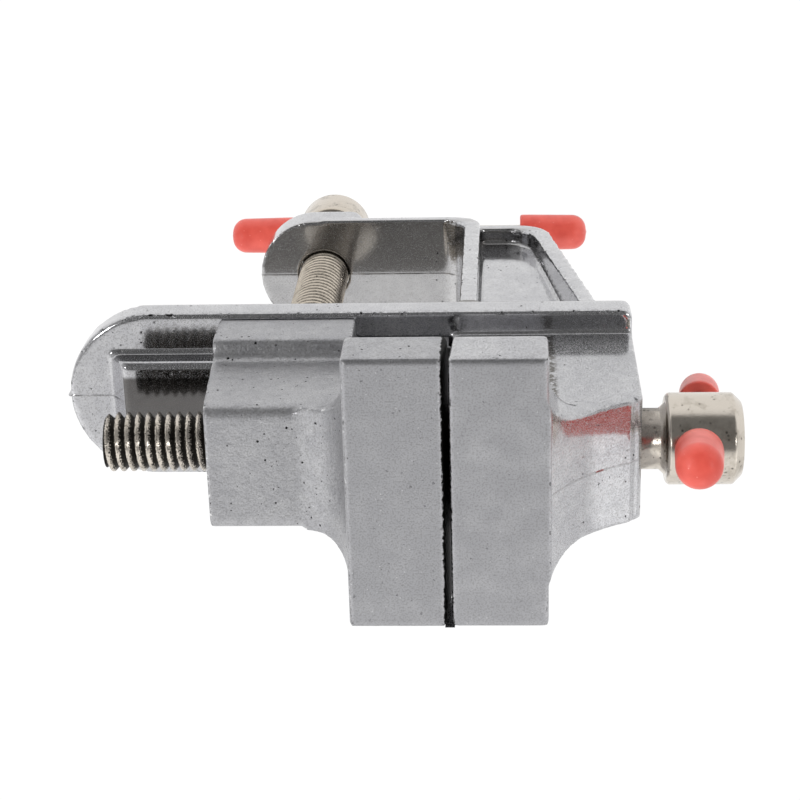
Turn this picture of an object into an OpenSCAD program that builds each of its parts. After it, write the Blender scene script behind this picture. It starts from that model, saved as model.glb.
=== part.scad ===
// Clamp-on table vise: a die-cast body with a C-shaped table clamp, a jaw that slides on a rail,
// and two thread spindles turned by sliding T-bars with soft end caps.
// X runs along the main spindle towards its head and Z points up through the jaws.
// Z = 0 is the underside of the bed, which sits on the table top, and X = 0 is the clamp spindle's axis.

/* [Bed and rail] */
// Width of the bed plate across the jaws
bed_w = 18; // [16:0.5:22]
// Thickness of the bed plate
bed_t = 3.3; // [2.8:0.1:4.5]
// From the clamp spindle's axis to the round end of the bed
bed_front = 23.6; // [20:0.1:28]
// From the clamp spindle's axis to the square end of the bed
bed_back = 34.9; // [33:0.1:40]
// Corner radius of the square end
bed_corner = 1; // [0.5:0.1:3]
// Width of the guide rail
rail_w = 9.2; // [7:0.2:10]
// Height of the guide rail above the bed
rail_h = 2.3; // [1.8:0.1:2.8]
// From the round end of the bed to the foot of the rail's sloped end
rail_inset = 4.6; // [3:0.2:8]
// Length of the rail's sloped end
rail_slope = 1.7; // [0.8:0.1:3]
// Edge radius along the rail
rail_r = 0.8; // [0.2:0.1:1.5]

/* [Jaws] */
// From the clamp spindle's axis to the gripping face of the fixed jaw
jaw_x = 16.7; // [15:0.1:19]
// Width of the gripping pads
pad_w = 27.4; // [22:0.2:32]
// Thickness of the gripping pads along the spindle
pad_d = 9.2; // [7:0.1:10]
// Height of the wide part of the pads
pad_h = 6.1; // [5:0.1:8]
// Height of the jaws above the bed
jaw_h = 25.1; // [24:0.1:28]
// Edge radius at the ends of the pads
pad_r = 0.5; // [0.2:0.1:2]
// Edge radius along the pads
pad_edge = 0.4; // [0.2:0.1:1]
// Opening between the pads as drawn
jaw_gap = 0.5; // [0.3:0.05:5]
// Width of the jaw columns and of the spindle boss
boss_w = 12.9; // [11:0.1:14]
// Height of the spindle boss above the bed at its free end
boss_h = 17.2; // [16.4:0.1:18]
// Radius of the hollow back of the fixed jaw
back_r = 17.2; // [10:0.2:24]
// Flat lip between the fixed pad and the hollow back
back_lip = 0.1; // [0.1:0.1:1]
// Radius of the plan fillets between pad and column
horn_r = 3.4; // [2:0.1:5]
// Fillet between the fixed jaw and the bed
jaw_fillet = 0.4; // [0.2:0.1:1.5]

/* [Sliding jaw] */
// Length of the nut block behind the pad, at its foot
nut_l = 14.3; // [12:0.1:18]
// Lean of the nut block's back from its foot to its top
nut_lean = 0.6; // [0:0.1:1.2]
// Height of the nut block above the bed
nut_h = 18.8; // [17:0.1:19]
// Edge radius of the nut block's top
nut_r = 1.2; // [0.5:0.1:3]
// Width of the sliding base
base_w = 17; // [15.5:0.5:18]
// Height of the sliding base above the bed
plinth_h = 6.3; // [5:0.1:7]
// Edge radius of the sliding base
base_r = 0.8; // [0.4:0.1:2]
// Fillet between sliding base and nut block
base_fillet = 1.2; // [0.2:0.1:1.5]
// Radius of the hollow between nut block and pad
cove_r = 5.6; // [5:0.1:8]
// Length of the hollow between nut block and pad
cove_l = 5; // [3:0.1:6]
// Step from the top of the sliding pad down to the hollow
cove_step = 0.2; // [0.1:0.1:0.6]
// From the pad's back to the end of the sliding base
base_inset = 0.3; // [0.1:0.1:1]
// Free space between sliding jaw and bed or rail
slide_gap = 0.3; // [0.2:0.05:0.4]

/* [C-arm] */
// From the clamp spindle's axis to the inner face of the C-arm
throat = 17.2; // [15:0.1:19]
// Largest table thickness with the clamp pad left out
opening = 34.8; // [30:0.1:45]
// Thickness of the inner flange of the C-arm
flange_t = 1.9; // [1.4:0.1:2.6]
// Thickness of the outer rim of the C-arm
rim_t = 1.7; // [1.2:0.1:2.4]
// Slant of the outer rim, in degrees from upright
rim_slant = 8.2; // [4:0.2:9]
// From the square end of the bed to the rim's outer face, at the bed
rim_inset = 2.8; // [1:0.1:5]
// Width of the foot
foot_w = 13.4; // [12.4:0.2:16]
// Depth of the rim below the flange edge, each side
rim_step = 1.2; // [0.5:0.1:2]
// Thickness of the web between the side pockets
web_t = 7.2; // [4:0.2:9]
// Thickness of the threaded boss in the foot
foot_t = 4.7; // [4:0.1:8]
// From the clamp spindle's axis to the round end of the foot
foot_front = 7.7; // [6.5:0.1:10]
// From the clamp spindle's axis to the inner end of the threaded boss
foot_boss = 4.7; // [4:0.1:8]
// Corner radius of the threaded boss
foot_corner = 1.5; // [0.5:0.1:3]
// Radius of the inside corner between arm and foot
throat_r = 3; // [1:0.1:5]
// Outer radius of the flange where it turns into the foot
flange_corner = 3.8; // [1:0.1:5]
// Radius of the outer corner between arm and foot
arm_corner = 4; // [2:0.5:5]

/* [Spindles] */
// Outside diameter of both spindles
spindle_d = 6; // [5:0.1:6.4]
// Height of the main spindle's axis above the bed
spindle_h = 11.95; // [11:0.05:13]
// Radial play of every spindle, bar and pin in its bore
play = 0.05; // [0.02:0.01:0.09]
// Length of main spindle that stands out behind the nut block
spindle_out = 10.2; // [6:0.1:16]
// Plain neck between boss and head of the main spindle
neck_l = 2.5; // [1:0.1:4]
// Cone between neck and head of the main spindle
neck_cone = 0.6; // [0.2:0.1:0.9]
// Diameter of the spindle heads
head_d = 9; // [8:0.1:10]
// Length of the spindle heads
head_l = 7.4; // [6.5:0.1:9]
// From the near face of a head to the middle of its cross hole
hole_l = 3.4; // [3:0.1:4.4]
// Chamfer at the near edge of the heads
head_edge = 0.3; // [0.1:0.1:0.6]
// Chamfer at the spindle ends
chamfer = 0.9; // [0.3:0.1:1.2]
// Diameter of the pin that keeps the main spindle in its boss
pin_d = 2; // [1.6:0.1:2.4]
// Metal left over the closed end of the pin hole
pin_cover = 1.4; // [0.8:0.1:2.5]
// Radial fit of pressed-in pins and pushed-on caps
press = 0.02; // [0.01:0.01:0.04]
// Space between clamp pad and bed as drawn
clamp_gap = 5.9; // [4.5:0.1:12]
// Length of clamp spindle between foot and head as drawn
clamp_out = 7.8; // [6:0.1:14]
// Diameter of the swivel pad
swivel_d = 10; // [8.5:0.1:11]
// Thickness of the swivel pad
swivel_t = 2.6; // [2.2:0.1:4]
// Chamfer of the swivel pad
swivel_edge = 0.5; // [0.2:0.1:0.8]
// Thickness of the riveted end inside the swivel pad
rivet_t = 0.8; // [0.5:0.1:1.2]

/* [T-bars] */
// Diameter of the T-bars
bar_d = 2; // [1.6:0.1:3.2]
// Length of a T-bar over its caps
bar_l = 45.7; // [38:0.1:55]
// Outside diameter of the end caps
cap_d = 4.6; // [4.4:0.1:5.4]
// Length of the end caps
cap_l = 8.5; // [7:0.1:10]
// Edge radius of a cap's closed end
cap_r = 1.8; // [1:0.1:2.1]
// Depth that a bar reaches into its cap
cap_bore = 6; // [4:0.1:6.2]
// Turn of the main T-bar from upright as drawn, in degrees
bar_lean = 13.4; // [0:0.2:45]
// Tilt of the main T-bar and its hole towards the jaws, in degrees
bar_tilt = 5.5; // [0:0.5:6]
// Space between the front cap of the clamp T-bar and its head as drawn
clamp_cap_gap = 0.2; // [0.1:0.05:1]
// Space between the upper cap of the main T-bar and its head as drawn
main_cap_gap = 2.6; // [0.5:0.1:8]

/* [Hidden] */
$fn = 96;
eps = 0.02;
half = bed_w / 2;
jaw_z = bed_t + jaw_h;
axis_z = bed_t + spindle_h;
boss_z = bed_t + boss_h;
plinth_z = bed_t + plinth_h;
nut_z = bed_t + nut_h;
pad_back = jaw_x + pad_d;
slide_face = jaw_x - jaw_gap;
slide_back = slide_face - pad_d;
nut_back = slide_back - nut_l;
rail_z = bed_t + rail_h;
rail_x = rail_inset - bed_front;
spindle_tip = nut_back - spindle_out;
head_x = bed_back + neck_l;
main_bar_x = head_x + hole_l;
pin_groove = spindle_d / 2 - 0.45 * pin_d;
groove_l = 1.24 * pin_d;
pin_x = (pad_back + bed_back) / 2;
pin_z = axis_z - pin_groove - pin_d / 2 - 0.15;
pin_end = boss_w / 2 - pin_cover;
foot_z = -opening - foot_t;
arm_bottom = -opening - flange_t;
rim_x = bed_back - rim_inset;
rim_low = rim_x + arm_bottom * tan(rim_slant);
rim_out = rim_t / cos(rim_slant);
swivel_z = -clamp_gap - swivel_t;
stem_d = 0.57 * spindle_d;
rivet_d = 0.83 * spindle_d;
clamp_head = foot_z - clamp_out;
clamp_bar_z = clamp_head - hole_l;
main_start = head_d / 2 + main_cap_gap;
clamp_start = head_d / 2 + clamp_cap_gap;
bar_len = bar_l - 2 * (cap_l - cap_bore);
ledge = (base_w - boss_w) / 2;
base_round = min(base_r, ledge - 0.1);
base_cove = min(base_fillet, ledge - base_round);
slide_z = bed_t + slide_gap;
cove_start = [slide_back - cove_l, nut_z];
cove_end = [slide_back - eps, jaw_z - cove_step];
fade_x = cove_start[0] - nut_r / 2;

// Centre of the circle of radius r through p and q, on the left of the way from p to q
function arc_centre(p, q, r) =
    let (d = q - p, l = norm(d), k = max(r, 0.52 * l), h = sqrt(k * k - l * l / 4))
    (p + q) / 2 + h / l * [-d[1], d[0]];

function arc_radius(p, q, r) = max(r, 0.52 * norm(q - p));

// Flat shape in X and Z, made w thick about the middle plane
module side(w) {
    rotate([90, 0, 0])
        linear_extrude(w, center = true)
            children();
}

// Flat shape in Y and Z, drawn out from x0 to x1
module front(x0, x1) {
    translate([x0, 0, 0])
        rotate([90, 0, 90])
            linear_extrude(x1 - x0)
                children();
}

// Rectangle with round corners from a to b
module round_rect(a, b, r) {
    translate([a[0] + r, a[1]])
        square([b[0] - a[0] - 2 * r, b[1] - a[1]]);
    translate([a[0], a[1] + r])
        square([b[0] - a[0], b[1] - a[1] - 2 * r]);
    for (x = [a[0] + r, b[0] - r], y = [a[1] + r, b[1] - r])
        translate([x, y])
            circle(r);
}

// Gripping pad with every edge rounded, its near face at x0
module pad(x0) {
    intersection() {
        translate([0, 0, jaw_z - pad_h])
            linear_extrude(pad_h)
                round_rect([x0, -pad_w / 2], [x0 + pad_d, pad_w / 2], pad_edge);
        side(pad_w)
            round_rect([x0, jaw_z - pad_h], [x0 + pad_d, jaw_z], pad_edge);
        front(x0, x0 + pad_d)
            round_rect([-pad_w / 2, jaw_z - pad_h], [pad_w / 2, jaw_z], pad_r);
    }
}

// Fillets of radius r at both sides of an upright that stands w wide on the height z
module foot_fillets(w, z, r) {
    difference() {
        translate([-w / 2 - r, z - eps])
            square([w + 2 * r, r + eps]);
        for (s = [-1, 1])
            translate([s * (w / 2 + r), z + r])
                circle(r);
    }
}

// Plan of a jaw column from x0 to x1 whose fillets sweep out to the pad on the x0 side
module horn_plan(x0, x1) {
    b = boss_w / 2;
    translate([x0, -b])
        square([x1 - x0, boss_w]);
    for (s = [-1, 1])
        difference() {
            translate([x0, s > 0 ? b - eps : -b - horn_r])
                square([horn_r, horn_r + eps]);
            translate([x0 + horn_r, s * (b + horn_r)])
                circle(horn_r);
        }
}

// Side view of the fixed jaw: upright grip face, hollow back, boss end
module fixed_profile() {
    p = [pad_back + back_lip, jaw_z];
    q = [bed_back, boss_z];
    x = jaw_x + pad_d / 2;
    z = jaw_z - pad_h / 2;
    difference() {
        polygon([[jaw_x, bed_t / 2], [jaw_x, z], [x, z], [x, jaw_z], [bed_back, jaw_z],
                 [bed_back, bed_t / 2]]);
        translate(arc_centre(p, q, back_r))
            circle(arc_radius(p, q, back_r));
        translate([bed_back - bed_corner, boss_z - bed_corner])
            difference() {
                square(bed_corner + 1);
                circle(bed_corner);
            }
    }
}

// Plan of the bed: round at the front, square with small corners at the back
module bed_plan() {
    translate([half - bed_front, 0])
        circle(half);
    translate([half - bed_front, -half])
        square([bed_front - half + bed_back - bed_corner, bed_w]);
    translate([bed_back - bed_corner - eps, bed_corner - half])
        square([bed_corner + eps, bed_w - 2 * bed_corner]);
    for (s = [-1, 1])
        translate([bed_back - bed_corner, s * (half - bed_corner)])
            circle(bed_corner);
}

module bed() {
    linear_extrude(bed_t)
        bed_plan();
    intersection() {
        side(rail_w)
            polygon([[rail_x, bed_t - eps], [rail_x + rail_slope, rail_z], [jaw_x + 1, rail_z],
                     [jaw_x + 1, bed_t - eps]]);
        front(rail_x, jaw_x + 1)
            round_rect([-rail_w / 2, 0], [rail_w / 2, rail_z], rail_r);
    }
}

module fixed_jaw() {
    pad(jaw_x);
    side(boss_w)
        fixed_profile();
    intersection() {
        side(pad_w)
            fixed_profile();
        translate([0, 0, jaw_z - pad_h])
            linear_extrude(pad_h)
                horn_plan(pad_back - eps, pad_back + horn_r + 1);
    }
    front(jaw_x, bed_back)
        foot_fillets(boss_w, bed_t, jaw_fillet);
}

// Outline of the C-arm in side view: upright spine with a slanted back, and the foot below it
module arm_outline(inner, outer) {
    r = arm_corner;
    x = rim_low - outer - r * (1 - sin(rim_slant)) / cos(rim_slant);
    difference() {
        polygon([[throat + inner, bed_t / 2], [throat + inner, arm_bottom + inner],
                 [rim_low - outer, arm_bottom + inner], [rim_x - outer, 0], [rim_x - outer, bed_t / 2]]);
        translate([x, arm_bottom + inner])
            difference() {
                translate([0, -1])
                    square([r + 2, r * (1 - sin(rim_slant)) + 1]);
                translate([0, r])
                    circle(r);
            }
    }
}

// Tapering width of the arm: wide at the bed, narrow at the foot
module arm_taper(top, low) {
    front(-half - bed_front, bed_back + 5)
        polygon([[-low / 2, foot_z - 1], [-low / 2, arm_bottom], [-top / 2, 0], [-top / 2, bed_t / 2],
                 [top / 2, bed_t / 2], [top / 2, 0], [low / 2, arm_bottom], [low / 2, foot_z - 1]]);
}

// Inner flange of the C: down the spine, round the corner and along the foot
module flange_profile() {
    r = flange_corner;
    difference() {
        union() {
            translate([throat, arm_bottom])
                square([flange_t, -arm_bottom + bed_t / 2]);
            translate([0, arm_bottom])
                square([throat + flange_t, flange_t]);
        }
        translate([throat + flange_t - r, arm_bottom + r])
            difference() {
                translate([0, -r - 1])
                    square(r + 1);
                circle(r);
            }
    }
    translate([throat - throat_r, -opening])
        difference() {
            translate([0, -eps])
                square([throat_r + eps, throat_r + eps]);
            translate([0, throat_r])
                circle(throat_r);
        }
}

// Plan of the threaded boss: round at the front, with small corners towards the arm
module foot_plan() {
    x = foot_w / 2 - foot_front;
    translate([x, 0])
        circle(foot_w / 2);
    round_rect([x - foot_corner, -foot_w / 2], [foot_boss, foot_w / 2], foot_corner);
}

module c_arm() {
    intersection() {
        side(bed_w)
            flange_profile();
        arm_taper(bed_w, foot_w);
    }
    intersection() {
        side(bed_w)
            difference() {
                arm_outline(0, 0);
                arm_outline(flange_t, rim_out);
            }
        arm_taper(bed_w - 2 * rim_step, foot_w - 2 * rim_step);
    }
    side(web_t)
        arm_outline(0, 0);
    side(web_t)
        polygon([[0, foot_z], [foot_boss, foot_z], [throat, arm_bottom], [throat, arm_bottom + 1],
                 [0, arm_bottom + 1]]);
    translate([0, 0, foot_z])
        linear_extrude(foot_t)
            foot_plan();
}

module body_casting() {
    color("silver")
        difference() {
            union() {
                bed();
                fixed_jaw();
                c_arm();
            }
            translate([jaw_x - 1, 0, axis_z])
                rotate([0, 90, 0])
                    cylinder(h = bed_back - jaw_x + 2, d = spindle_d + 2 * play);
            translate([0, 0, foot_z - 1])
                cylinder(h = foot_t + 2, d = spindle_d + 2 * play);
            translate([pin_x, pin_end, pin_z])
                rotate([90, 0, 0])
                    cylinder(h = pin_end + boss_w, d = pin_d + 2 * press);
        }
}

// Side view of the sliding jaw's column, hollowed between nut block and pad
module slide_profile() {
    middle = slide_face - pad_d / 2;
    top = jaw_z - pad_h / 2;
    polygon([[fade_x, slide_z], [fade_x, nut_z], [middle, nut_z], [middle, top], [slide_face, top],
             [slide_face, slide_z]]);
    difference() {
        translate([cove_start[0], nut_z - eps])
            square([middle - cove_start[0], jaw_z - pad_edge - nut_z + eps]);
        translate(arc_centre(cove_start, cove_end, cove_r))
            circle(arc_radius(cove_start, cove_end, cove_r));
    }
}

// Plan of the column, whose slanted corners end the rounding of the nut block's top
module slide_plan() {
    b = boss_w / 2;
    polygon([[fade_x, nut_r - b], [fade_x + nut_r, -b], [slide_face, -b], [slide_face, b],
             [fade_x + nut_r, b], [fade_x, b - nut_r]]);
}

// Front view of a block w wide with a flat foot and round top edges of radius r at the height top
module block_section(w, top, r) {
    round_rect([-w / 2, slide_z], [w / 2, top], r);
    translate([-w / 2, slide_z])
        square([w, r + eps]);
}

// Nut block with its back leaning from the sliding base up
module nut_block() {
    low = plinth_z + base_cove;
    intersection() {
        front(nut_back, slide_back - base_inset)
            block_section(boss_w, nut_z, nut_r);
        side(boss_w + 1)
            polygon([[nut_back, slide_z - 1], [nut_back, low], [nut_back + nut_lean, nut_z],
                     [nut_back + nut_lean, nut_z + 1], [slide_back, nut_z + 1], [slide_back, slide_z - 1]]);
    }
}

module moving_jaw() {
    color("silver")
        difference() {
            union() {
                pad(slide_back);
                nut_block();
                intersection() {
                    side(boss_w)
                        slide_profile();
                    translate([0, 0, slide_z])
                        linear_extrude(jaw_z - slide_z)
                            slide_plan();
                }
                intersection() {
                    side(pad_w)
                        slide_profile();
                    translate([0, 0, jaw_z - pad_h])
                        linear_extrude(pad_h)
                            translate([slide_back + eps, 0])
                                mirror([1, 0])
                                    horn_plan(0, horn_r + 1);
                }
                front(nut_back, slide_back - base_inset) {
                    block_section(base_w, plinth_z, base_round);
                    foot_fillets(boss_w, plinth_z, base_cove);
                }
            }
            translate([nut_back - 1, -rail_w / 2 - slide_gap, bed_t])
                cube([nut_l + pad_d + 2, rail_w + 2 * slide_gap, rail_h + slide_gap]);
            translate([nut_back - 1, 0, axis_z])
                rotate([0, 90, 0])
                    cylinder(h = nut_l + pad_d + 2, d = spindle_d + 2 * play);
        }
}

// Head with both edges chamfered, its near face at the origin and its axis along Z
module head() {
    cylinder(h = head_edge, d1 = head_d - 2 * head_edge, d2 = head_d);
    translate([0, 0, head_edge])
        cylinder(h = head_l - head_edge - chamfer, d = head_d);
    translate([0, 0, head_l - chamfer])
        cylinder(h = chamfer, d1 = head_d, d2 = head_d - 2 * chamfer);
}

// Cross hole for a T-bar, along Z about the origin
module bar_hole() {
    cylinder(h = 2 * head_d, d = bar_d + 2 * play, center = true);
}

module main_screw() {
    color("lightgray")
        difference() {
            translate([0, 0, axis_z])
                rotate([0, 90, 0])
                    difference() {
                        union() {
                            translate([0, 0, spindle_tip])
                                cylinder(h = chamfer, d1 = spindle_d - 2 * chamfer, d2 = spindle_d);
                            translate([0, 0, spindle_tip + chamfer])
                                cylinder(h = head_x - spindle_tip - chamfer, d = spindle_d);
                            translate([0, 0, head_x - neck_cone])
                                cylinder(h = neck_cone, d1 = spindle_d, d2 = spindle_d + 2 * neck_cone);
                            translate([0, 0, head_x])
                                head();
                        }
                        translate([0, 0, pin_x - groove_l / 2])
                            difference() {
                                cylinder(h = groove_l, d = spindle_d + 2);
                                cylinder(h = groove_l, r = pin_groove);
                            }
                    }
            at_main_bar()
                bar_hole();
        }
}

module retaining_pin() {
    color("gray")
        translate([pin_x, pin_end - 0.2, pin_z])
            rotate([90, 0, 0])
                cylinder(h = 2 * pin_end + 0.8, d = pin_d);
}

// Soft cap with a round end, its open end at the origin and its length along Z
module cap() {
    color("tomato")
        difference() {
            union() {
                cylinder(h = cap_l - cap_r, d = cap_d);
                cylinder(h = cap_l, d = cap_d - 2 * cap_r);
                rotate_extrude()
                    intersection() {
                        translate([cap_d / 2 - cap_r, cap_l - cap_r])
                            circle(cap_r);
                        square([cap_d, cap_l + 1]);
                    }
            }
            translate([0, 0, -eps])
                cylinder(h = cap_bore + eps, d = bar_d + 2 * press);
        }
}

// Turns a T-bar drawn along Z to its place in the main spindle's head
module at_main_bar() {
    translate([main_bar_x, 0, axis_z])
        rotate([-bar_lean, 0, 0])
            rotate([0, -bar_tilt, 0])
                children();
}

// Turns a T-bar drawn along Z to its place in the clamp spindle's head
module at_clamp_bar() {
    translate([0, 0, clamp_bar_z])
        rotate([0, -90, 0])
            children();
}

// Rod of a T-bar whose near cap starts at the given distance from the spindle's axis
module bar(start) {
    color("lightgray")
        translate([0, 0, start + cap_bore - bar_len])
            cylinder(h = bar_len, d = bar_d);
}

module near_cap(start) {
    translate([0, 0, start])
        cap();
}

module far_cap(start) {
    translate([0, 0, start + 2 * cap_l - bar_l])
        mirror([0, 0, 1])
            cap();
}

module main_bar() {
    at_main_bar()
        bar(main_start);
}

module main_cap_top() {
    at_main_bar()
        near_cap(main_start);
}

module main_cap_low() {
    at_main_bar()
        far_cap(main_start);
}

// Clamp spindle with a turned stem that is riveted over inside the swivel pad
module clamp_screw() {
    color("lightgray") {
        difference() {
            translate([0, 0, clamp_head])
                mirror([0, 0, 1])
                    head();
            at_clamp_bar()
                bar_hole();
        }
        translate([0, 0, clamp_head])
            cylinder(h = swivel_z - 0.1 - clamp_head, d = spindle_d);
        translate([0, 0, swivel_z - 0.1 - eps])
            cylinder(h = swivel_t - rivet_t + eps, d = stem_d);
        translate([0, 0, -clamp_gap - rivet_t - 0.1])
            cylinder(h = rivet_t, d = rivet_d);
    }
}

module clamp_pad() {
    color("gray")
        difference() {
            translate([0, 0, swivel_z])
                union() {
                    cylinder(h = swivel_edge, d1 = swivel_d - 2 * swivel_edge, d2 = swivel_d);
                    translate([0, 0, swivel_edge])
                        cylinder(h = swivel_t - swivel_edge, d = swivel_d);
                }
            translate([0, 0, swivel_z - 1])
                cylinder(h = swivel_t + 2, d = stem_d + 2 * play);
            translate([0, 0, -clamp_gap - rivet_t - 0.2])
                cylinder(h = rivet_t + 1, d = rivet_d + 4 * play);
        }
}

module clamp_bar() {
    at_clamp_bar()
        bar(clamp_start);
}

module clamp_cap_front() {
    at_clamp_bar()
        near_cap(clamp_start);
}

module clamp_cap_back() {
    at_clamp_bar()
        far_cap(clamp_start);
}

body_casting();
moving_jaw();
main_screw();
retaining_pin();
main_bar();
main_cap_top();
main_cap_low();
clamp_screw();
clamp_pad();
clamp_bar();
clamp_cap_front();
clamp_cap_back();
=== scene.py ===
from math import cos, pi, radians, sin

import bmesh
import bpy
from mathutils import Matrix, Vector


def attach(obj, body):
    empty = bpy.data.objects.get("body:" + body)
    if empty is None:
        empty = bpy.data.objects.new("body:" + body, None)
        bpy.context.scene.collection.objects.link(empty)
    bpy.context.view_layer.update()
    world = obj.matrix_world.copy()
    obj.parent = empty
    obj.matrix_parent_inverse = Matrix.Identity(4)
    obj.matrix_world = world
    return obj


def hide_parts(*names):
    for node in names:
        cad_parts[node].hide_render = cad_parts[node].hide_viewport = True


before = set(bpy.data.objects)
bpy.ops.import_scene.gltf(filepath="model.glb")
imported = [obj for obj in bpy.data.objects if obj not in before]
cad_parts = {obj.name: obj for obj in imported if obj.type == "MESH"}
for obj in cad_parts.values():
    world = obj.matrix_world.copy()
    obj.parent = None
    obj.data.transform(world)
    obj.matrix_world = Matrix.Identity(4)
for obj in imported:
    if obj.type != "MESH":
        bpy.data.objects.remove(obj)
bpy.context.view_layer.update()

scene = bpy.context.scene
scene.view_settings.view_transform = "Standard"
mm = 0.001
mainAxisZ = 15.25                                                # height of the main spindle's axis, mm
print("frame loaded:", len(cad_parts), "nodes")


def srgb(code):
    parts = [int(code[i:i + 2], 16) / 255 for i in (0, 2, 4)]
    return [c / 12.92 if c <= 0.04045 else ((c + 0.055) / 1.055) ** 2.4 for c in parts] + [1.0]


# adds one node: settings are its properties or socket values, links are sockets fed by other outputs
def addNode(tree, kind, settings={}, links={}):
    made = tree.nodes.new("ShaderNode" + kind)
    for key, value in settings.items():
        if isinstance(key, str) and hasattr(made, key):
            setattr(made, key, value)
        else:
            made.inputs[key].default_value = value
    for key, source in links.items():
        tree.links.new(source, made.inputs[key])
    return made


# Adds rows of masks to the parts. A ramp follows its source from low to high and gives first to last,
# a place is a ramp with low and high in mm, and a swell is a ramp with soft ends.
# Any other row is arithmetic on parts and numbers, and a longer row goes on with the same operation.
def addMasks(tree, parts, rows):
    for key, kind, *values in rows:
        if kind in ("ramp", "place", "swell"):
            source, low, high, first, last = values
            unit = mm if kind == "place" else 1
            ends = "SMOOTHSTEP" if kind == "swell" else "LINEAR"
            made = addNode(tree, "MapRange", {"interpolation_type": ends, "From Min": low * unit,
                                              "From Max": high * unit, "To Min": first, "To Max": last},
                           {"Value": parts[source]})
        else:
            count = 3 if kind == "MULTIPLY_ADD" else 2
            numbers = {i: v for i, v in enumerate(values[:count]) if not isinstance(v, str)}
            wires = {i: parts[v] for i, v in enumerate(values[:count]) if isinstance(v, str)}
            made = addNode(tree, "Math", {"operation": kind, **numbers}, wires)
            for name in values[count:]:
                made = addNode(tree, "Math", {"operation": kind}, {0: made.outputs[0], 1: parts[name]})
        parts[key] = made.outputs[0]


def newMaterial(name):
    material = bpy.data.materials.new(name)
    material.use_nodes = True
    material.node_tree.nodes.clear()
    return material


# the first parts of a material: noises and cells on the piece's own coordinates, with sizes in mm
def addPatterns(tree, look):
    coords = addNode(tree, "TexCoord").outputs["Object"]
    parts = {"coords": coords}
    for key, (size, detail, roughness) in look["noises"].items():
        made = addNode(tree, "TexNoise", {"Scale": 1 / (size * mm), "Detail": detail, "Roughness": roughness},
                       {"Vector": coords})
        parts[key] = made.outputs["Fac"]
        parts[key + "Hue"] = made.outputs["Color"]
    for key, size in look["cells"].items():
        made = addNode(tree, "TexVoronoi", {"Scale": 1 / (size * mm)}, {"Vector": coords})
        parts[key] = made.outputs["Distance"]
    return parts


# Ends a material: two colours are mixed by a mask, and further colours are laid over them by theirs.
# The parts "rough" and "height", which is in mm, are ready by then.
def endMaterial(tree, parts, mix, tints, settings):
    mask, first, second = mix
    colour = addNode(tree, "Mix", {"data_type": "RGBA", 6: srgb(first), 7: srgb(second)}, {0: parts[mask]})
    for mask, code in tints:
        colour = addNode(tree, "Mix", {"data_type": "RGBA", 7: srgb(code)},
                         {0: parts[mask], 6: colour.outputs[2]})
    bump = addNode(tree, "Bump", {"Strength": 1.0, "Distance": mm}, {"Height": parts["height"]})
    shader = addNode(tree, "BsdfPrincipled", settings,
                     {"Base Color": colour.outputs[2], "Roughness": parts["rough"],
                      "Normal": bump.outputs[0]})
    addNode(tree, "OutputMaterial", {}, {"Surface": shader.outputs[0]})


# Die-cast aluminium alloy. The die leaves a bright skin with slow waves, fine wrinkles and gas pits.
# Microscopic smooth and dull spots lie side by side, which gives a clear but pale reflection.
# The tops of the jaws are ground dull and edges are nicked from use. Painted light: painted glints on specks
# and rubbed edges, painted shade in hollows, between the grip faces, in the corner beside the fixed pad,
# under the bed and on the foot's top, and a painted dark reflection of the spindle on the rail.
# Noises have a size in mm, a detail and a roughness. Names that end in X, Y or Z are places in mm along that
# axis where a mask rises or falls; Y counts to both sides of the middle, and gripX from the gap's middle.
castLook = {
    "ground": "ACACAF", "pit": "2A2929", "grimeAndShade": "6B6864", "glint": "F6F6F6", "gapShade": "161514",
    "under": "A09E9B", "oil": "4A4744",
    "noises": {"flow": (4.5, 1.5, 0.5), "cloud": (7.0, 4.0, 0.5), "mottle": (1.1, 4.0, 0.5),
               "wrinkle": (0.42, 3.0, 0.5), "grain": (0.17, 2.0, 0.5), "spot": (0.06, 0.0, 0.5),
               "pitField": (4.0, 2.0, 0.5), "nick": (0.5, 3.0, 0.5), "nickField": (2.2, 1.0, 0.5),
               "blotch": (2.6, 5.0, 0.5)},
    "cells": {"glintCell": 0.8},
    "pitMm": 0.7, "pitWobble": 0.25, "pitGrowth": -0.14, "pitHeight": 0.06, "groundPits": 0.35,
    "groundRough": 0.42, "groundGrain": 0.006, "wornRough": 0.65, "footShadeShare": 0.4, "hollowShare": 0.75,
    "groundZ": (28.1, 28.22), "seamY": (0.04, 0.16), "spindleReflectionY": (2.7, 3.1), "oilZ": (5.3, 5.4, 5.9, 6.0),
    "flashX": (25.85, 26.0, 26.7, 27.1), "cornerShadeY": (5.9, 6.0), "flashZ": (3.7, 4.0, 22.0, 22.4),
    "gripMiddle": 16.45, "gripFray": 0.5, "gripX": (0.61, 0.71), "gripY": (13.67, 13.69), "gripZ": (6.5, 7.0),
    "underZ": (-0.3, -0.2, 0.25, 0.35), "footZ": (-35.3, -35.2, -34.0, -33.9),
    "bedY": (4.7, 4.9), "railTop": 5.9, "bedTop": 3.5,
}
bodyFinish = {"light": "CACACC", "dark": "BCBCBF", "smooth": 0.1, "dull": 0.55, "smoothShare": 0.57,
              "bedShare": 0.93, "flowHeight": 0.014, "wrinkleHeight": 0.003, "grainHeight": 0.001,
              "pitFrom": 0.52, "nickFrom": 0.55, "seam": 0.25, "oil": 0.85, "glint": 0.3, "shine": 0.3}
jawFinish = {"light": "C0C0C2", "dark": "B2B2B5", "smooth": 0.28, "dull": 0.55, "smoothShare": 0.35,
             "bedShare": 0.35, "flowHeight": 0.012, "wrinkleHeight": 0.06, "grainHeight": 0.016,
             "pitFrom": 0.44, "nickFrom": 0.5, "seam": 0.0, "oil": 0.0, "glint": 0.4, "shine": 0.9}


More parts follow.
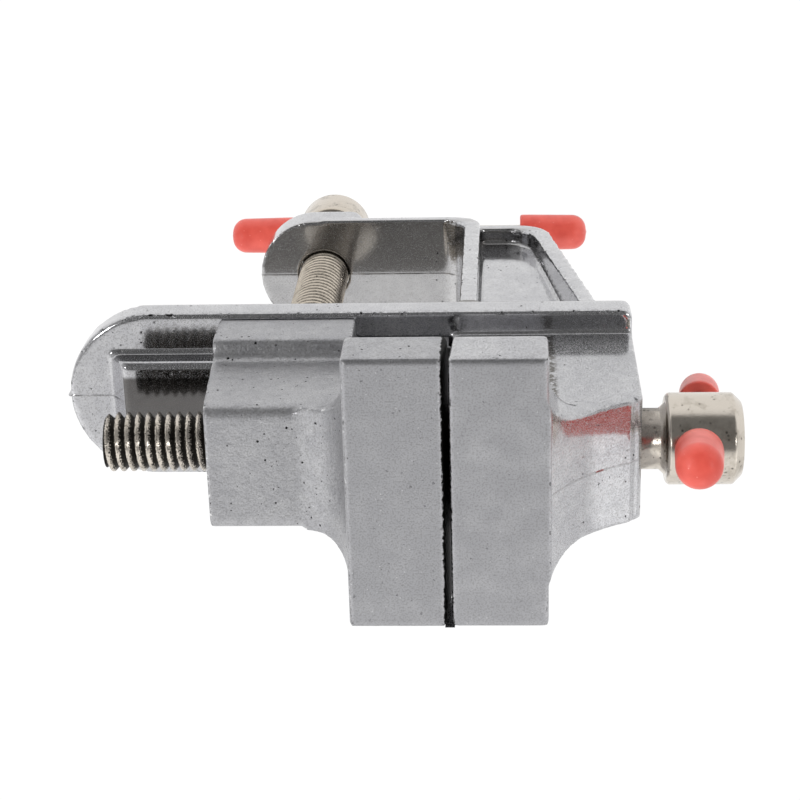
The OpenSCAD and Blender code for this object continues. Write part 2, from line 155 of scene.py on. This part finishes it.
def castAlloy(name, finish):
    look = castLook
    material = newMaterial(name)
    tree = material.node_tree
    parts = addPatterns(tree, look)
    axes = addNode(tree, "SeparateXYZ", {}, {0: parts["coords"]})
    wobble = addNode(tree, "VectorMath", {"operation": "MULTIPLY_ADD", 1: [look["pitWobble"] * mm] * 3},
                     {0: parts["grainHue"], 2: parts["coords"]})
    pitCell = addNode(tree, "TexVoronoi", {"Scale": 1 / (look["pitMm"] * mm)}, {"Vector": wobble.outputs[0]})
    pitHue = addNode(tree, "SeparateXYZ", {}, {0: pitCell.outputs["Color"]})
    parts["pitCell"] = pitCell.outputs["Distance"]
    parts["pitSize"] = pitHue.outputs["X"]
    parts["bend"] = addNode(tree, "Attribute", {"attribute_name": "bend"}).outputs["Fac"]
    for key in ("x", "y", "z"):
        parts[key] = axes.outputs[key.upper()]
    for key in ("oilZ", "flashX", "flashZ", "underZ", "footZ"):
        start, full, fade, gone = look[key]
        addMasks(tree, parts, ((key + "From", "place", key[-1].lower(), start, full, 0, 1),
                               (key + "To", "place", key[-1].lower(), fade, gone, 1, 0)))
    addMasks(tree, parts, (
        ("aside", "ABSOLUTE", "y"),
        ("ground", "place", "z", *look["groundZ"], 0, 1),
        ("unground", "ramp", "ground", 0, 1, 1, 0),
        # gas pits of unlike size gather in patches and are mostly ground away on top
        ("pitSpread", "MULTIPLY", "pitSize", "pitSize"),
        ("pitEdge", "MULTIPLY_ADD", "pitSpread", look["pitGrowth"], "pitCell"),
        ("pitDot", "ramp", "pitEdge", 0.02, 0.07, 1, 0),
        ("pitZone", "ramp", "pitField", finish["pitFrom"], finish["pitFrom"] + 0.06, 0, 1),
        ("pitShare", "ramp", "ground", 0, 1, 1, look["groundPits"]),
        ("pits", "MULTIPLY", "pitDot", "pitZone", "pitShare"),
        # nicks and rubbed spots lie on convex edges, painted shade in hollows: bend tells which is which
        ("edge", "ramp", "bend", 0.07, 0.2, 0, 1),
        ("hollow", "ramp", "bend", -0.04, -0.25, 0, look["hollowShare"]),
        ("nickDot", "ramp", "nick", 0.56, 0.62, 0, 1),
        ("nickZone", "ramp", "nickField", finish["nickFrom"], finish["nickFrom"] + 0.07, 0, 1),
        ("nicks", "MULTIPLY", "nickDot", "nickZone", "edge"),
        ("marks", "MAXIMUM", "pits", "nicks"),
        # rubbed spots are worn edges with painted highlights, and the white specks are painted glints
        ("rubbedGlint", "ramp", "nick", 0.42, 0.36, 0, finish["shine"]),
        ("shines", "MULTIPLY", "rubbedGlint", "edge"),
        ("glintDot", "ramp", "glintCell", 0.05, 0.1, finish["glint"], 0),
        ("glints", "MAXIMUM", "glintDot", "shines"),
        # parting line, and a rough strip of painted shade in the corner beside the fixed pad
        ("seamBand", "place", "aside", *look["seamY"], finish["seam"], 0),
        ("seam", "MULTIPLY", "seamBand", "unground"),
        ("cornerShadeDot", "ramp", "wrinkle", 0.4, 0.56, 0, 1),
        ("cornerShadeSide", "place", "aside", *look["cornerShadeY"], 0, 1),
        ("flash", "MULTIPLY", "cornerShadeDot", "flashXFrom", "flashXTo", "flashZFrom", "flashZTo", "cornerShadeSide"),
        # the seam is its own darker line, while the hollows and the corner beside the fixed pad get painted
        # shade
        ("seamAndShade", "MAXIMUM", "hollow", "seam", "flash"),
        # painted shade, nearly black, between the grip faces, with a frayed edge
        ("fromGap", "SUBTRACT", "x", look["gripMiddle"] * mm),
        ("gap", "ABSOLUTE", "fromGap"),
        ("frayed", "MULTIPLY_ADD", "wrinkle", look["gripFray"] * mm, "gap"),
        ("gapShadeBand", "place", "frayed", *look["gripX"], 1, 0),
        ("gapShadeTop", "place", "z", *look["gripZ"], 0, 1),
        ("gapShadeSide", "place", "aside", *look["gripY"], 1, 0),
        ("gapShade", "MULTIPLY", "gapShadeBand", "gapShadeTop", "gapShadeSide"),
        # the bed's underside is rougher and darkened with painted shade, the foot's top gets painted shade,
        # and a painted dark reflection of the spindle lies on the rail
        ("under", "MULTIPLY", "underZFrom", "underZTo"),
        ("footTop", "MULTIPLY", "footZFrom", "footZTo"),
        ("foot", "ramp", "footTop", 0, 1, 0, look["footShadeShare"]),
        ("shadeBelow", "MAXIMUM", "under", "foot"),
        # painted dark reflection of the spindle on the rail's top beneath it
        ("spindleReflectionBand", "MULTIPLY", "oilZFrom", "oilZTo"),
        ("spindleReflectionSide", "place", "aside", *look["spindleReflectionY"], finish["oil"], 0),
        ("oil", "MULTIPLY", "spindleReflectionBand", "spindleReflectionSide"),
        ("worn", "MAXIMUM", "marks", "gapShade", "under"),
        # slow clouds in the skin, blotches on the ground tops and grime in the finest grain
        ("blend", "ADD", "cloud", "mottle"),
        ("shade", "ramp", "blend", 0.8, 1.2, 0, 1),
        ("blotches", "ramp", "blotch", 0.3, 0.6, 0.55, 1),
        ("groundTint", "MULTIPLY", "ground", "blotches"),
        ("grainTint", "ramp", "grain", 0.52, 0.38, 0, 0.3),
        # bed, rail and arm keep more of the die's polish than the jaws
        ("polishTop", "place", "aside", *look["bedY"], look["railTop"] * mm, look["bedTop"] * mm),
        ("isLow", "LESS_THAN", "z", "polishTop"),
        ("polish", "ramp", "isLow", 0, 1, finish["smoothShare"], finish["bedShare"]),
        ("fromMiddle", "MULTIPLY_ADD", "polish", -0.45, 0.225),
        ("spots", "ADD", "spot", "fromMiddle"),
        ("skinRough", "ramp", "spots", 0.48, 0.52, finish["smooth"], finish["dull"]),
        # one height in mm, built up layer by layer
        ("wrinkled", "MULTIPLY", "wrinkle", "unground"),
        ("groundGrain", "MULTIPLY", "grain", "ground"),
        ("waves", "MULTIPLY", "flow", finish["flowHeight"]),
        ("wrinkles", "MULTIPLY_ADD", "wrinkled", finish["wrinkleHeight"], "waves"),
        ("grains", "MULTIPLY_ADD", "grain", finish["grainHeight"], "wrinkles"),
        ("scored", "MULTIPLY_ADD", "groundGrain", look["groundGrain"], "grains"),
        ("height", "MULTIPLY_ADD", "marks", -look["pitHeight"], "scored"),
    ))
    parts["rough"] = parts["skinRough"]
    for mask, rough in (("ground", look["groundRough"]), ("worn", look["wornRough"])):
        parts["rough"] = addNode(tree, "Mix", {"data_type": "FLOAT", 3: rough},
                                 {0: parts[mask], 2: parts["rough"]}).outputs[0]
    # the tints include painted light: glints, painted shade in hollows, the corner, the gap and below, and
    # the spindle's painted reflection
    tints = (("groundTint", "ground"), ("grainTint", "grimeAndShade"), ("glints", "glint"), ("shadeBelow", "under"),
             ("oil", "oil"), ("seamAndShade", "grimeAndShade"), ("marks", "pit"), ("gapShade", "gapShade"))
    endMaterial(tree, parts, ("shade", finish["light"], finish["dark"]),
                [(mask, look[key]) for mask, key in tints], {"Metallic": 1.0})
    return material


# Nickel-plated steel: warm bright plate with dull worn clouds and dark specks, and near-black thread roots,
# which on the main spindle spread over the lower side.
# Each plating has its colour, the axis of its spindle, how dark its thread's roots and lower side are, and
# how crumbly that edge is.
# The bars have no thread, so their axis is put far away.
nickelLook = {
    "worn": "A0988C", "darkening": "0E0C0A", "speck": "3A342E",
    "noises": {"cloud": (2.2, 5.0, 0.62), "polish": (0.3, 3.0, 0.5), "crumb": (0.16, 2.0, 0.5)},
    "cells": {"speckCell": 0.55},
    "rough": 0.09, "roughSpan": 0.22, "darkRough": 0.6, "polishHeight": 0.006,
    "rootMm": 2.66, "crestMm": 2.88, "threadTo": 3.05, "hangsFrom": 0.5, "lowFull": -1.5,
}
mainPlating = {"plated": "D2CABF", "at": (0, 0, mainAxisZ), "across": (0, 1, 1),
               "darkening": 0.97, "lowDarkening": 0.85, "crumbs": 1.1}
clampPlating = {"plated": "CCC2B4", "at": (0, 0, 0), "across": (1, 1, 0),
                "darkening": 0.85, "lowDarkening": 0.0, "crumbs": 0.3}
barPlating = {"plated": "DAD4CA", "at": (0, 0, -1000), "across": (0, 0, 1),
              "darkening": 0.0, "lowDarkening": 0.0, "crumbs": 0.0}


def nickelPlate(name, plating):
    look = nickelLook
    material = newMaterial(name)
    tree = material.node_tree
    parts = addPatterns(tree, look)
    fromAxis = addNode(tree, "VectorMath", {"operation": "SUBTRACT", 1: [c * mm for c in plating["at"]]},
                       {0: parts["coords"]})
    across = addNode(tree, "VectorMath", {"operation": "MULTIPLY", 1: plating["across"]},
                     {0: fromAxis.outputs[0]})
    radius = addNode(tree, "VectorMath", {"operation": "LENGTH"}, {0: across.outputs[0]})
    parts["radius"] = radius.outputs["Value"]
    parts["above"] = addNode(tree, "SeparateXYZ", {}, {0: fromAxis.outputs[0]}).outputs["Z"]
    crumbs = 0.5 * plating["crumbs"] * mm
    addMasks(tree, parts, (
        ("speckZone", "ramp", "cloud", 0.5, 0.58, 0, 1),
        ("speckDot", "ramp", "speckCell", 0.1, 0.3, 0.85, 0),
        ("specks", "MULTIPLY", "speckDot", "speckZone"),
        # the distance from the axis tells root from crest; the roots, and on the main spindle also the lower
        # side, are darker and rougher
        ("lift", "ramp", "crumb", 0, 1, crumbs, -crumbs),
        ("depth", "ADD", "radius", "lift"),
        ("inGroove", "place", "depth", look["rootMm"], look["crestMm"], plating["darkening"], 0),
        ("lowSide", "place", "above", look["hangsFrom"], look["lowFull"], 0, plating["lowDarkening"]),
        ("darkened", "MAXIMUM", "inGroove", "lowSide"),
        ("onThread", "LESS_THAN", "radius", look["threadTo"] * mm),
        ("darkening", "MULTIPLY", "darkened", "onThread"),
        ("wear", "ramp", "cloud", 0.52, 0.76, 0, 1),
        ("plateRough", "MULTIPLY_ADD", "cloud", look["roughSpan"], look["rough"]),
        ("height", "MULTIPLY", "polish", look["polishHeight"]),
    ))
    parts["rough"] = addNode(tree, "Mix", {"data_type": "FLOAT", 3: look["darkRough"]},
                             {0: parts["darkening"], 2: parts["plateRough"]}).outputs[0]
    endMaterial(tree, parts, ("wear", plating["plated"], look["worn"]),
                (("specks", look["speck"]), ("darkening", look["darkening"])), {"Metallic": 1.0})
    return material


# Dip-moulded soft vinyl: red-orange, slightly cloudy, with a satin skin and a few pale dust specks.
vinylLook = {
    "red": "D0564A", "deep": "C0463B", "dust": "EBA79C",
    "noises": {"cloud": (2.5, 4.0, 0.5), "peel": (0.5, 2.0, 0.5)},
    "cells": {"dustCell": 0.75},
    "rough": 0.28, "roughSpan": 0.18, "peelHeight": 0.012, "ior": 1.5,
}


def softVinyl():
    look = vinylLook
    material = newMaterial("softVinyl")
    tree = material.node_tree
    parts = addPatterns(tree, look)
    addMasks(tree, parts, (
        ("dust", "ramp", "dustCell", 0.03, 0.1, 0.6, 0),
        ("shade", "ramp", "cloud", 0.35, 0.65, 0, 1),
        ("rough", "MULTIPLY_ADD", "cloud", look["roughSpan"], look["rough"]),
        ("height", "MULTIPLY", "peel", look["peelHeight"]),
    ))
    endMaterial(tree, parts, ("shade", look["red"], look["deep"]),
                (("dust", look["dust"]),), {"IOR": look["ior"]})
    return material


bodyAlloy = castAlloy("castAlloyBody", bodyFinish)
jawAlloy = castAlloy("castAlloyJaw", jawFinish)
mainNickel = nickelPlate("nickelMainSpindle", mainPlating)
clampNickel = nickelPlate("nickelClampSpindle", clampPlating)
barNickel = nickelPlate("nickelBar", barPlating)
vinyl = softVinyl()
print("materials made")

# in metres: points this near become one, points this near lie on a plane, and a cut's own tolerance
weld = 1e-6
onPlane = 2e-6
cutGap = 1e-7


# merged copy of a CAD node's loose triangles
def copyOfNode(name):
    bm = bmesh.new()
    bm.from_mesh(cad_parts[name].data)
    bmesh.ops.remove_doubles(bm, verts=bm.verts, dist=weld)
    return bm


def everything(bm):
    return bm.verts[:] + bm.edges[:] + bm.faces[:]


def keepPiece(name, bm, material, body, node, sharp):
    mesh = bpy.data.meshes.new(name)
    bm.to_mesh(mesh)
    bm.free()
    mesh.materials.append(material)
    mesh.polygons.foreach_set("use_smooth", [True] * len(mesh.polygons))
    mesh.set_sharp_from_angle(angle=radians(sharp))
    piece = bpy.data.objects.new(name, mesh)
    scene.collection.objects.link(piece)
    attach(piece, body)
    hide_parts(node)
    print("piece", name, len(mesh.polygons), "faces")


# Castings: the CAD solid is remeshed finely and smoothed, which rounds every edge and corner as a die does.
# Then the parting line is raised along the middle, except at heights that are rubbed or guided.
# Both grip faces slant alike by a trace, a thin burr on the fixed pad closes the -Y end of the gap,
# and the bed's tip keeps a nub of flash.
bodySkin = {"voxel": 0.26, "rounds": 3, "seamSkips": ((5.2, 5.8), (27.6, 28.6)), "seamSlope": 1.1,
            "gripX": 16.7, "burrs": (((16.08, -13.74, 22.4), (17.0, -13.705, 28.25)),), "sharp": 60}
jawSkin = {"voxel": 0.2, "rounds": 3, "seamSkips": (), "seamSlope": -2,
           "gripX": 16.2, "burrs": (), "sharp": 60}
seamLine = {"half": 0.12, "rise": 0.06, "mean": 0.8, "swing": 0.6, "waves": (2.1, 0.83), "facing": 0.4,
            "tipX": -23.3, "tipRise": 0.3, "boreSkip": 3.3}
grip = {"top": 28.4, "from": 6.5, "height": 6.1, "depth": 0.8, "lean": 0.45}
# the foot's top falls away to both sides of the parting line, and the edge of its bore stays crisp
foot = {"low": -35.2, "high": -34.0, "facing": 0.5, "draft": 0.044, "boreRadius": 3.8, "boreRounds": 1}


# fine remesh of a CAD node
def remeshed(name, node, voxel):
    bm = copyOfNode(node)
    mesh = bpy.data.meshes.new(name + "Draft")
    bm.to_mesh(mesh)
    bm.free()
    draft = bpy.data.objects.new(name + "Draft", mesh)
    scene.collection.objects.link(draft)
    remesh = draft.modifiers.new("remesh", "REMESH")
    remesh.mode = "VOXEL"
    remesh.voxel_size = voxel * mm
    bpy.context.view_layer.update()
    done = draft.evaluated_get(bpy.context.evaluated_depsgraph_get())
    bm = bmesh.new()
    bm.from_mesh(done.to_mesh())
    done.to_mesh_clear()
    bpy.data.objects.remove(draft)
    bpy.data.meshes.remove(mesh)
    return bm


def castSkin(name, node, body, skin, material):
    bm = remeshed(name, node, skin["voxel"])

    # bend keeps how far each point was rounded, for the material
    bend = bm.verts.layers.float.new("bend")
    before = [v.co.copy() for v in bm.verts]
    smoothed = bm.verts[:]
    for i in range(skin["rounds"]):
        if i == foot["boreRounds"]:
            smoothed = [v for v in smoothed if v.co.z > foot["high"] * mm
                        or Vector((v.co.x, v.co.y)).length > foot["boreRadius"] * mm]
        bmesh.ops.smooth_vert(bm, verts=smoothed, factor=0.5,
                              use_axis_x=True, use_axis_y=True, use_axis_z=True)
    bm.normal_update()
    for v, old in zip(bm.verts, before):
        v[bend] = (old - v.co).dot(v.normal) / (skin["voxel"] * mm)

    for v in bm.verts:
        near = 1 - abs(v.co.x / mm - skin["gripX"]) / grip["depth"]
        sunk = min(1, (grip["top"] - v.co.z / mm) / grip["height"])
        if near > 0 and v.co.z > grip["from"] * mm:
            v.co.x += grip["lean"] * near * sunk * mm
        if v.normal.z > foot["facing"] and foot["low"] * mm < v.co.z < foot["high"] * mm:
            v.co.z -= foot["draft"] * abs(v.co.y)

    for y in (-seamLine["half"], 0, seamLine["half"]):
        bmesh.ops.bisect_plane(bm, geom=everything(bm), dist=weld, plane_co=(0, y * mm, 0),
                               plane_no=(0, 1, 0))
    bm.normal_update()
    firstWave, secondWave = seamLine["waves"]
    for v in bm.verts:
        onSeam = abs(v.co.y) < onPlane and abs(v.normal.y) < seamLine["facing"]
        onSeam = onSeam and v.normal.z < skin["seamSlope"]
        clear = abs(v.co.x / mm - skin["gripX"]) > grip["depth"]
        clear = clear and abs(v.co.z / mm - mainAxisZ) > seamLine["boreSkip"]
        if onSeam and clear and not any(low * mm < v.co.z < high * mm for low, high in skin["seamSkips"]):
            x = v.co.x / mm
            uneven = seamLine["mean"] + seamLine["swing"] * sin(firstWave * x) * sin(secondWave * x + 1)
            rise = seamLine["tipRise"] if x < seamLine["tipX"] else seamLine["rise"] * uneven
            v.co += v.normal * mm * rise
    for low, high in skin["burrs"]:
        middle = Matrix.Translation([(a + b) / 2 * mm for a, b in zip(low, high)])
        span = Matrix.Diagonal([(b - a) * mm for a, b in zip(low, high)] + [1])
        bmesh.ops.create_cube(bm, size=1, matrix=middle @ span)
    keepPiece(name, bm, material, body, node, skin["sharp"])


castSkin("viseBody", "body_casting", "vise_body", bodySkin, bodyAlloy)
castSkin("slidingJaw", "moving_jaw", "sliding_jaw", jawSkin, jawAlloy)

# Spindles: one pitch of the M6 thread is spun along a helix and trimmed, then joined to the CAD copy's head.
# The helix starts early and ends late, so that the trim meets whole turns.
thread = {"pitch": 1.0, "root": 2.4, "crest": 2.94, "flat": 0.12, "steps": 48, "chamfer": 0.4,
          "early": 1.5, "spareTurns": 3}


def threadRod(length):
    bm = bmesh.new()
    pitch, steps = thread["pitch"] * mm, thread["steps"]
    turns = int(length / thread["pitch"]) + thread["spareTurns"]
    root, crest, half = thread["root"], thread["crest"], thread["flat"] / 2
    outline = [(root, 0.0), (root, 2 * half), (crest, 0.5 - half), (crest, 0.5 + half), (root, 1.0)]
    verts = [bm.verts.new((r * mm, 0, (z - thread["early"]) * pitch)) for r, z in outline]
    edges = [bm.edges.new(pair) for pair in zip(verts, verts[1:])]
    bmesh.ops.spin(bm, geom=verts + edges, cent=(0, 0, 0), axis=(0, 0, 1), dvec=(0, 0, pitch / steps),
                   angle=2 * pi * turns, steps=steps * turns)
    bmesh.ops.remove_doubles(bm, verts=bm.verts, dist=2 * weld)
    for z, side in ((0, -1), (length, 1)):
        cutAcross(bm, 2, z, side)
    bmesh.ops.recalc_face_normals(bm, faces=bm.faces)
    for v in bm.verts:                                           # turned chamfer at the free end
        away = Vector((v.co.x, v.co.y, 0)).length
        most = crest * mm - max(0, thread["chamfer"] * mm - v.co.z)
        if away > most:
            v.co.x *= most / away
            v.co.y *= most / away
    return bm


# joins a second bmesh into the first, moved by a matrix
def addTo(bm, other, matrix):
    bmesh.ops.transform(other, matrix=matrix, verts=other.verts)
    mesh = bpy.data.meshes.new("joined")
    other.to_mesh(mesh)
    other.free()
    bm.from_mesh(mesh)
    bpy.data.meshes.remove(mesh)


# rounds the edges of a turned piece that lie in the given planes across its axis
def roundEdges(bm, axis, places, offset):
    bmesh.ops.dissolve_limit(bm, angle_limit=radians(0.5), verts=bm.verts, edges=bm.edges)
    chosen = [e for e in bm.edges if len(e.link_faces) == 2 and e.calc_face_angle(0) > radians(20)
              and any(all(abs(v.co[axis] - p * mm) < onPlane for v in e.verts) for p in places)]
    bmesh.ops.bevel(bm, geom=chosen, affect="EDGES", offset=offset * mm, offset_type="OFFSET", segments=4,
                    profile=0.5, material=-1, clamp_overlap=True)


# drops what lies beyond a plane across an axis, on the given side, and closes the cut
def cutAcross(bm, axis, place, side):
    point, normal = Vector((0, 0, 0)), Vector((0, 0, 0))
    point[axis] = place * mm
    normal[axis] = side
    bmesh.ops.bisect_plane(bm, geom=everything(bm), dist=cutGap, plane_co=point, plane_no=normal,
                           clear_outer=True)
    bmesh.ops.holes_fill(bm, edges=[e for e in bm.edges if e.is_boundary], sides=0)


# The main spindle is threaded from its tip to inside the fixed jaw, then come neck, groove and drilled head.
# The clamp spindle is threaded from under the swivel pad to just above its head, and has a riveted stem.
spindle = {"lap": 0.4, "edge": 0.14, "stemLap": 0.01, "sharp": 35}
spindlePlaces = {
    "mainSpindle": {"node": "main_screw", "body": "main_spindle", "finish": mainNickel, "axis": 0,
                    "tip": -17.5, "threadEnd": 25.1, "headSide": 1, "headPlanes": (37.4, 37.7, 43.9, 44.8),
                    "line": (0, 0, mainAxisZ), "turn": Matrix.Rotation(pi / 2, 4, "Y"), "stem": False},
    "clampSpindle": {"node": "clamp_screw", "body": "clamp_spindle", "finish": clampNickel, "axis": 2,
                     "tip": -8.6, "threadEnd": -46.0, "headSide": -1,
                     "headPlanes": (-47.3, -47.6, -53.8, -54.7),
                     "line": (0, 0, 0), "turn": Matrix.Rotation(pi, 4, "X"), "stem": True},
}


def makeSpindle(name, put):
    bm = copyOfNode(put["node"])
    roundEdges(bm, put["axis"], put["headPlanes"], spindle["edge"])
    whole = bm.copy()
    cutAcross(bm, put["axis"], put["threadEnd"], -put["headSide"])
    if put["stem"]:
        cutAcross(whole, put["axis"], put["tip"] + spindle["stemLap"], put["headSide"])
        addTo(bm, whole, Matrix.Identity(4))
    else:
        whole.free()
    rod = threadRod(abs(put["threadEnd"] - put["tip"]) + spindle["lap"])
    start = list(put["line"])
    start[put["axis"]] = put["tip"]
    addTo(bm, rod, Matrix.Translation([c * mm for c in start]) @ put["turn"])
    keepPiece(name, bm, put["finish"], put["body"], put["node"], spindle["sharp"])


for name, put in spindlePlaces.items():
    makeSpindle(name, put)

# End caps: a turned profile with a rounded mouth, a slight draft and a full, slightly flattened end
cap = {"mouth": 2.3, "end": 2.2, "length": 8.5, "bore": 1.03, "boreDepth": 6.0, "boreEdge": (0.15, 0.02),
       "lip": 0.25, "lipCut": 0.3, "straight": 1.2, "endRadius": 1.75, "crown": 0.1, "arcSteps": 10,
       "turnSteps": 56, "sharp": 50}
mainHole = {"body": "main_handle", "at": (40.8, 0, mainAxisZ),
            "turn": Matrix.Rotation(radians(-13.4), 4, "X") @ Matrix.Rotation(radians(-5.5), 4, "Y")}
clampHole = {"body": "clamp_handle", "at": (0, 0, -50.7), "turn": Matrix.Rotation(radians(-90), 4, "Y")}
capPlaces = {
    "mainCapTop": {"node": "main_cap_top", "hole": mainHole, "start": 7.1},
    "mainCapLow": {"node": "main_cap_low", "hole": mainHole, "start": -21.6},
    "clampCapFront": {"node": "clamp_cap_front", "hole": clampHole, "start": 4.7},
    "clampCapBack": {"node": "clamp_cap_back", "hole": clampHole, "start": -24.0},
}


def makeCap(name, place):
    bm = bmesh.new()
    mouth, bore, lip, endR = cap["mouth"], cap["bore"], cap["lip"], cap["endRadius"]
    out, deep = cap["boreEdge"]
    cut = cap["lipCut"] * lip
    tall = cap["length"] - cap["crown"]
    outline = [(0, cap["boreDepth"]), (bore, cap["boreDepth"]), (bore, lip), (bore + out, deep),
               (mouth - lip, 0), (mouth - cut, cut), (mouth, lip), (mouth, cap["straight"])]
    for i in range(cap["arcSteps"] + 1):
        a = i * pi / 2 / cap["arcSteps"]
        outline.append((cap["end"] - endR + endR * cos(a), tall - endR + endR * sin(a)))
    outline.append((0, cap["length"]))
    verts = [bm.verts.new((r * mm, 0, z * mm)) for r, z in outline]
    edges = [bm.edges.new(pair) for pair in zip(verts, verts[1:])]
    bmesh.ops.spin(bm, geom=verts + edges, cent=(0, 0, 0), axis=(0, 0, 1), angle=2 * pi,
                   steps=cap["turnSteps"], use_merge=True)
    bmesh.ops.remove_doubles(bm, verts=bm.verts, dist=weld)
    hole = place["hole"]
    matrix = Matrix.Translation([c * mm for c in hole["at"]]) @ hole["turn"]
    matrix = matrix @ Matrix.Translation((0, 0, place["start"] * mm))
    if place["start"] < 0:
        matrix = matrix @ Matrix.Rotation(pi, 4, "X")            # the far cap points the other way
    bmesh.ops.transform(bm, matrix=matrix, verts=bm.verts)
    bmesh.ops.recalc_face_normals(bm, faces=bm.faces)
    keepPiece(name, bm, vinyl, hole["body"], place["node"], cap["sharp"])


for name, place in capPlaces.items():
    makeCap(name, place)

# CAD pieces whose shape is right get the plated finish
for name in ("main_bar", "clamp_bar", "clamp_pad", "retaining_pin"):
    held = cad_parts[name]
    held.data.materials.clear()
    held.data.materials.append(barNickel)
    print("finish on", name)

# Floor: plain white, kept bright for the camera and for reflections, with a faint shadow left on it
floorSet = {"z": -90.0, "size": 6.0, "white": "F7F7F7", "glow": 0.9}


def makeFloor():
    bm = bmesh.new()
    bmesh.ops.create_grid(bm, x_segments=1, y_segments=1, size=floorSet["size"])
    bmesh.ops.translate(bm, verts=bm.verts, vec=(0, 0, floorSet["z"] * mm))
    mesh = bpy.data.meshes.new("studioFloor")
    bm.to_mesh(mesh)
    bm.free()
    floor = bpy.data.objects.new("studioFloor", mesh)
    scene.collection.objects.link(floor)
    material = newMaterial("floorWhite")
    tree = material.node_tree
    paint = addNode(tree, "BsdfDiffuse", {"Color": srgb(floorSet["white"])})
    glow = addNode(tree, "Emission", {"Strength": 1.0})
    path = addNode(tree, "LightPath").outputs
    parts = {"camera": path["Is Camera Ray"], "mirror": path["Is Glossy Ray"],
             "glass": path["Is Transmission Ray"]}
    addMasks(tree, parts, (
        ("seen", "MAXIMUM", "camera", "mirror", "glass"),
        ("share", "MULTIPLY", "seen", floorSet["glow"]),
    ))
    mixed = addNode(tree, "MixShader", {}, {0: parts["share"], 1: paint.outputs[0], 2: glow.outputs[0]})
    addNode(tree, "OutputMaterial", {}, {"Surface": mixed.outputs[0]})
    mesh.materials.append(material)


makeFloor()

# Light: a broad bright wall of light on the -Y side that grows brighter downwards, a dim room over the +Y
# side, more light towards both ends of X and a pale strip along the horizon.
# The lamps lift what is matt; only the two small ones glint in the metal.
tent = {"dim": 0.19, "edge": (-0.2, -0.13), "edgeRise": 0.52, "slope": (-0.46, -0.2), "slopeRise": 0.36,
        "sides": (0.25, 0.85), "sideRise": 0.4, "horizon": 0.9, "horizonTop": 0.02, "dimStarts": 0.2}
softBoxes = {
    "keyBox": {"at": (-0.55, 0.3, 0.5), "aim": (0.01, 0, 0), "size": 0.4, "watts": 4.2, "glints": False},
    "lowBox": {"at": (0.1, -0.65, 0.45), "aim": (0.01, 0, 0), "size": 0.4, "watts": 2.2, "glints": False},
    "fillBox": {"at": (0.5, 0.5, 0.2), "aim": (0.03, 0, 0), "size": 0.3, "watts": 2.4, "glints": False},
    "leftSpot": {"at": (-0.4, 0.1, 0.6), "aim": (0.01, 0, 0), "size": 0.12, "watts": 0.5, "glints": True},
    "rightSpot": {"at": (0.5, 0.15, 0.55), "aim": (0.01, 0, 0), "size": 0.12, "watts": 0.4, "glints": True},
}


def makeLight():
    world = bpy.data.worlds.new("studioRoom")
    scene.world = world
    world.use_nodes = True
    tree = world.node_tree
    tree.nodes.clear()
    coords = addNode(tree, "TexCoord").outputs["Generated"]
    axes = addNode(tree, "SeparateXYZ", {}, {0: coords}).outputs
    parts = {"x": axes["X"], "y": axes["Y"], "z": axes["Z"]}
    addMasks(tree, parts, (
        ("edge", "swell", "y", *tent["edge"], tent["edgeRise"] + tent["dim"], tent["dim"]),
        ("slope", "ramp", "y", *tent["slope"], tent["slopeRise"], 0),
        ("apart", "ABSOLUTE", "x"),
        ("sides", "ramp", "apart", *tent["sides"], 0, tent["sideRise"]),
        ("walls", "ADD", "edge", "slope", "sides"),
        ("rise", "swell", "z", tent["horizonTop"], tent["dimStarts"], 0, 1),
    ))
    level = addNode(tree, "Mix", {"data_type": "FLOAT", 2: tent["horizon"]},
                    {0: parts["rise"], 3: parts["walls"]})
    sky = addNode(tree, "Background", {"Color": (1, 1, 1, 1)}, {"Strength": level.outputs[0]})
    addNode(tree, "OutputWorld", {}, {"Surface": sky.outputs[0]})
    for name, box in softBoxes.items():
        lamp = bpy.data.lights.new(name, "AREA")
        lamp.size = box["size"]
        lamp.energy = box["watts"]
        held = bpy.data.objects.new(name, lamp)
        held.location = box["at"]
        held.rotation_euler = (Vector(box["aim"]) - Vector(box["at"])).to_track_quat("-Z", "Y").to_euler()
        held.visible_glossy = box["glints"]
        scene.collection.objects.link(held)


makeLight()

# Camera: above the jaws, with +Y upwards in the picture, solved from the photograph's straight edges
view = {"at": (21.832, 78.472, 193.23), "right": (0.998588, -0.026744, -0.045903),
        "up": (0.00701, 0.922823, -0.385161), "lens": 89.1, "sensor": 36.0, "nearest": 5.0}


def makeCamera():
    lens = bpy.data.cameras.new("photoCamera")
    lens.sensor_width = view["sensor"]
    lens.lens = view["lens"]
    lens.clip_start = view["nearest"] * mm
    camera = bpy.data.objects.new("photoCamera", lens)
    right, up = Vector(view["right"]), Vector(view["up"])
    matrix = Matrix((right, up, right.cross(up))).transposed().to_4x4()
    matrix.translation = [c * mm for c in view["at"]]
    camera.matrix_world = matrix
    scene.collection.objects.link(camera)
    scene.camera = camera


makeCamera()
print("stage, light and camera set")
